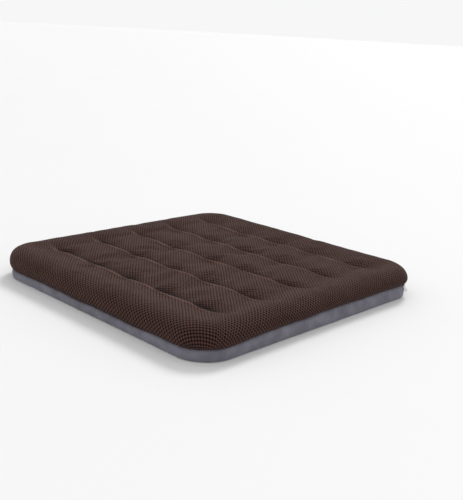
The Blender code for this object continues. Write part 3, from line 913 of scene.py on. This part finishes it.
def make_tacks():
    """The bar tacks: close zigzag stitches over each tuft, in the place of each CAD tack."""
    low, high = FIRST_TACK
    half_x = (high.x - low.x) / 2
    half_y = (high.y - low.y) / 2
    turns = TACK_TURNS
    centres = []
    for index in range(2 * turns + 1):
        x = -half_x + 2 * half_x * index / (2 * turns)
        side = 1 if index % 2 else -1
        centres.append((x, side * half_y * 0.55, high.z + 0.0002))
        centres.append((x, side * half_y, high.z - 0.0005))
        centres.append((x, side * half_y * 0.80, low.z + 0.0010))
        centres.append((x + 0.0001, side * half_y * 0.60, high.z - 0.0002))
    points, faces = [], []
    add_tube(points, faces, centres, TACK_THREAD)
    for row in range(TUFTS):
        for column in range(TUFTS):
            node = f"tack_row{row + 1}_col{column + 1}"
            corner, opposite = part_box(node)
            middle = np.array([(corner.x + opposite.x) / 2, (corner.y + opposite.y) / 2, 0])
            place = np.array(points) + middle
            tack = make_piece(f"bar_{node}", place, faces, BROWN_THREAD)
            face_outwards(tack)
            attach(tack, "cushion")
            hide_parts(node)


def make_coils():
    """The two halves of the zip's coil, each a flattened spiral of nylon."""
    pitch, wire = COIL_PITCH, COIL_WIRE
    for half in ("upper", "lower"):
        low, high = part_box(f"zip_coil_{half}")
        turns = int((high.x - low.x - 2 * wire) / pitch)
        centre_y, centre_z = (low.y + high.y) / 2, (low.z + high.z) / 2
        reach_y, reach_z = (high.y - low.y) / 2 - wire, (high.z - low.z) / 2 - wire
        mirrored = 1 if half == "upper" else -1
        steps = 8
        centres = []
        for index in range(turns * steps + 1):
            angle = 2 * math.pi * index / steps
            x = low.x + wire + pitch * index / steps
            y = centre_y + reach_y * math.cos(angle)
            centres.append((x, y, centre_z + mirrored * reach_z * math.sin(angle)))
        points, faces = [], []
        add_tube(points, faces, centres, wire, 5)
        coil = make_piece(f"nylon_coil_{half}", points, faces, NYLON)
        face_outwards(coil)
        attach(coil, "cushion")
        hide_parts(f"zip_coil_{half}")


def add_stitches(name, centres, outward, material):
    """A line of short stitches along a path, as one piece."""
    length, gap, radius = STITCH_LENGTH, STITCH_GAP, STITCH_RADIUS
    centres = np.array(centres, float)
    lengths = np.linalg.norm(np.diff(centres, axis=0), axis=1)
    along = np.concatenate([[0], np.cumsum(lengths)])
    points, faces = [], []
    count = int(along[-1] / (length + gap))
    for index in range(count):
        first = index * (length + gap)
        samples = first + length * np.array([0.0, 0.18, 0.5, 0.82, 1.0])
        dip = np.array([-1.0, 0.55, 1.0, 0.55, -1.0]) * radius
        line = np.column_stack([np.interp(samples, along, centres[:, axis]) for axis in range(3)])
        out = np.column_stack([np.interp(samples, along, outward[:, axis]) for axis in range(3)])
        add_tube(points, faces, line + out * dip[:, None], radius, 5)
    piece = make_piece(name, points, faces, material)
    face_outwards(piece)
    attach(piece, "cushion")


def make_zip():
    """Facings, tapes, coil, stitches, stops, slider and pull tab."""
    seeds = {"upper": 3, "lower": 4}
    for half, seed in seeds.items():
        flat_strip(f"suede_facing_{half}", f"zip_facing_{half}", SUEDE, FACING_WAVE, seed)
    for half in seeds:
        flat_strip(f"woven_tape_{half}", f"zip_tape_{half}", TAPE, TAPE_WAVE, 1)
    make_coils()
    for side, edge in (("upper", -1), ("lower", 1)):
        low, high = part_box(f"zip_facing_{side}")
        count = 120
        x = np.linspace(low.x + 0.003, high.x - 0.003, count)
        z = (low.z if edge < 0 else high.z) - edge * STITCH_MARGIN
        wavy = uneven(np.column_stack([x, np.full(count, z * 0.5), np.zeros(count)]), 45, seeds[side])
        centres = np.column_stack([x, high.y + wavy * FACING_WAVE, np.full(count, z)])
        outward = np.tile((0.0, 1.0, 0.0), (count, 1))
        add_stitches(f"facing_stitches_{side}", centres, outward, GREY_THREAD)
    for node in ("zip_slider", "zip_pull_tab", "zip_stop_right", "zip_stop_left"):
        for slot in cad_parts[node].material_slots:
            slot.material = METAL


# ---------------------------------------------------------------- label, base and inner layers


def make_label():
    """The small folded ribbon label, curling away from the band at its lower end."""
    low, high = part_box("seam_label")
    middle = (low + high) / 2
    centre = SIDE / 2 - CORNER_RADIUS
    angle = math.atan2(middle.y - centre, middle.x - centre)
    radius = math.hypot(middle.x - centre, middle.y - centre)
    outward = np.array([math.cos(angle), math.sin(angle), 0])
    sideways = np.array([-math.sin(angle), math.cos(angle), 0])
    width, drop = LABEL_WIDTH, high.z - low.z
    section = []
    for share in np.linspace(0, 1, 9):
        height = high.z + 0.0010 - (drop + 0.0010) * share
        section.append((0.0002 + LABEL_CURL * share**1.6, height))
    fold = []
    end_out, end_z = section[-1]
    for turn in np.linspace(0, math.pi, 6)[1:-1]:
        fold.append((end_out + 0.0004 * (1 - math.cos(turn)), end_z - 0.0004 * math.sin(turn)))
    back = [(out + 0.0008, z) for out, z in reversed(section)]
    line = section + fold + back
    columns = 9
    outer = np.zeros((len(line), columns, 3))
    for row, (out, z) in enumerate(line):
        for column, share in enumerate(np.linspace(-0.5, 0.5, columns)):
            cup = 0.0012 * (4 * share**2) * (high.z - z) / drop
            place = outward * (radius - 0.0004 + out + cup) + sideways * width * share
            outer[row, column] = (centre + place[0], centre + place[1], z)
    normal = np.gradient(outer, axis=0)
    inward = np.cross(normal, np.gradient(outer, axis=1))
    inward /= np.linalg.norm(inward, axis=2)[:, :, None]
    label = closed_sheet("folded_label", outer, outer + inward * 0.00022, SATIN)
    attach(label, "cushion")
    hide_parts("seam_label")


def make_cushioned_slab(name, node, material, crown, edge, seed, wrinkle, slack=0.0):
    """A closed soft form in the place of a CAD slab: crowned, round at its edges and a little uneven.

    Crown is the share of its depth that rises from edge to middle, edge the depth of the rounding,
    and slack how much smaller it is cut on each side.
    """
    low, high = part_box(node)
    half = high.x - slack
    middle_z = (low.z + high.z) / 2
    depth = (high.z - low.z) / 2
    rings = 16
    shares = np.linspace(-1, 1, 61)[:-1]
    points, faces = [], []
    profile = []
    for step in range(rings + 1):
        angle = math.pi * step / rings - math.pi / 2
        out = math.copysign(abs(math.cos(angle)) ** 0.6, math.cos(angle))
        up = math.copysign(abs(math.sin(angle)) ** 0.6, math.sin(angle))
        profile.append((edge * (1 - out), middle_z + up * depth * (1 - crown)))
    loops = []
    start = SIDE / 2 - half
    for inset, z in profile:
        plan, _ = outline(start + inset, shares, max(CORNER_RADIUS - start - inset, 0.004))
        pull = 1 - 0.006 * (1 - np.tile(shares, 4) ** 2)
        loops.append(np.column_stack([plan * pull[:, None], np.full(len(plan), z)]))
    for side, z_side in ((0, -1), (-1, 1)):
        edge_loop = loops[side]
        for shrink in (0.93, 0.80, 0.62, 0.42, 0.22, 0.06):
            rise = z_side * depth * crown * (1 - shrink**2)
            ring = edge_loop * (shrink, shrink, 1) + (0, 0, rise)
            if side == 0:
                loops.insert(0, ring)
            else:
                loops.append(ring)
    count = len(loops[0])
    stacked = np.vstack(loops)
    stacked[:, 2] += uneven(stacked, 30, seed) * wrinkle
    for index in range(len(loops) - 1):
        for turn in range(count):
            first, second = index * count + turn, index * count + (turn + 1) % count
            faces.append((first, second, second + count, first + count))
    faces.append(tuple(reversed(range(count))))
    faces.append(tuple((len(loops) - 1) * count + turn for turn in range(count)))
    piece = make_piece(name, stacked, faces, material)
    face_outwards(piece)
    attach(piece, "cushion")
    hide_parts(node)
    return piece


def make_hollow(piece, thickness):
    """Adds an inner surface to a closed piece, so that it is a bag of thin cloth."""
    outer = coordinates(piece.data)
    inner = outer - vertex_normals(piece.data) * thickness
    faces = [tuple(face.vertices) for face in piece.data.polygons]
    count = len(outer)
    lining = [tuple(index + count for index in reversed(face)) for face in faces]
    mesh = bpy.data.meshes.new(piece.name)
    mesh.from_pydata([tuple(point) for point in np.vstack([outer, inner])], [], faces + lining)
    mesh.materials.append(piece.data.materials[0])
    mesh.shade_smooth()
    old = piece.data
    piece.data = mesh
    bpy.data.meshes.remove(old)


def make_wadding():
    """Tufted layer of loose fibre under the mesh."""
    top, _, faces, loop = quilted_top(CELLS, 12, WADDING_DROP, WADDING_INSET, WADDING_SHARE)
    count = len(top)
    low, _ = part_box("quilt_padding")
    bottom = top.copy()
    bottom[:, 2] = low.z
    top[:, 2] += uneven(top, 60, 9) * 0.0003
    top[:, 2] = np.maximum(top[:, 2], low.z + 0.0010)
    points = np.vstack([top, bottom])
    faces = faces + [tuple(index + count for index in reversed(face)) for face in faces]
    for index, first in enumerate(loop):
        second = loop[(index + 1) % len(loop)]
        faces.append((second, first, first + count, second + count))
    piece = make_piece("tufted_wadding", points, faces, WADDING)
    face_outwards(piece)
    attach(piece, "cushion")
    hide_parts("quilt_padding")


def make_inner_layers():
    """Wadding and its backing sheet, and the foam in its thin bag."""
    make_wadding()
    shape = (0.30, 0.0004, 17, INNER_WRINKLE, BACKING_SLACK)
    backing = make_cushioned_slab("woven_backing", "quilt_backing", BACKING, *shape)
    foam = make_cushioned_slab("rounded_foam", "foam_core", FOAM, 0.10, 0.006, 12, INNER_WRINKLE)
    bag = make_cushioned_slab("foam_bag", "core_liner", LINER, 0.04, 0.005, 12, INNER_WRINKLE)
    make_hollow(bag, BAG_THICKNESS)


def make_base():
    """The grip cloth underneath, slightly uneven on its upper side."""
    low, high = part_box("base_panel")
    piece = make_cushioned_slab("grip_base", "base_panel", GRIP, 0.04, 0.0012, 14, 0.0)
    points = coordinates(piece.data)
    ripple = uneven(points, 28, 15) * 0.0001
    points[:, 2] += np.where(points[:, 2] > high.z / 2, ripple, 0)
    set_coordinates(piece.data, points)


# ---------------------------------------------------------------- stage


def make_camera():
    """Camera at the photograph's viewing angle, with its lens and its slight roll."""
    azimuth, elevation, roll = (math.radians(angle) for angle in CAMERA_ANGLES)
    back = Vector((math.sin(azimuth), -math.cos(azimuth), 0)) * math.cos(elevation)
    back.z = math.sin(elevation)
    level = Vector((math.cos(azimuth), math.sin(azimuth), 0))
    upright = back.cross(level)
    right = level * math.cos(roll) + upright * math.sin(roll)
    up = upright * math.cos(roll) - level * math.sin(roll)
    lens = bpy.data.cameras.new("camera")
    lens.sensor_width = 36
    lens.lens = CAMERA_LENS
    camera = bpy.data.objects.new("camera", lens)
    turned = Matrix((right, up, back)).transposed().to_4x4()
    away, across, above = CAMERA_PLACE
    turned.translation = back * away + right * across + up * above
    camera.matrix_world = turned
    bpy.context.scene.collection.objects.link(camera)
    bpy.context.scene.camera = camera


def make_light(name, place, spread, power):
    """Distant soft light from a direction, with its spread in degrees."""
    lamp = bpy.data.lights.new(name, "SUN")
    lamp.angle = math.radians(spread)
    lamp.energy = power
    light = bpy.data.objects.new(name, lamp)
    light.location = place
    light.rotation_euler = Vector(place).to_track_quat("Z", "Y").to_euler()
    bpy.context.scene.collection.objects.link(light)


def make_stage():
    """Pale floor, soft sky and two distant lights."""
    lines = np.linspace(-FLOOR_REACH, FLOOR_REACH, 9)
    points = [(x, y, -0.0002) for y in lines for x in lines]
    floor = make_piece("floor", points, grid_faces(9, 9), floor_material())
    world = bpy.data.worlds.new("soft_sky")
    world.use_nodes = True
    sky = world.node_tree.nodes["Background"]
    sky.inputs["Color"].default_value = (0.93, 0.93, 0.935, 1.0)
    sky.inputs["Strength"].default_value = 1.0
    bpy.context.scene.world = world
    make_light("key_light", (-1.6, 3.6, 4.0), 18, 1.7)
    make_light("fill_light", (3.0, -3.6, 3.4), 40, 0.25)
    bpy.context.scene.view_settings.view_transform = "Standard"


make_camera()
make_stage()
make_top()
make_band()
make_zip()
make_label()
make_tacks()
make_inner_layers()
make_base()
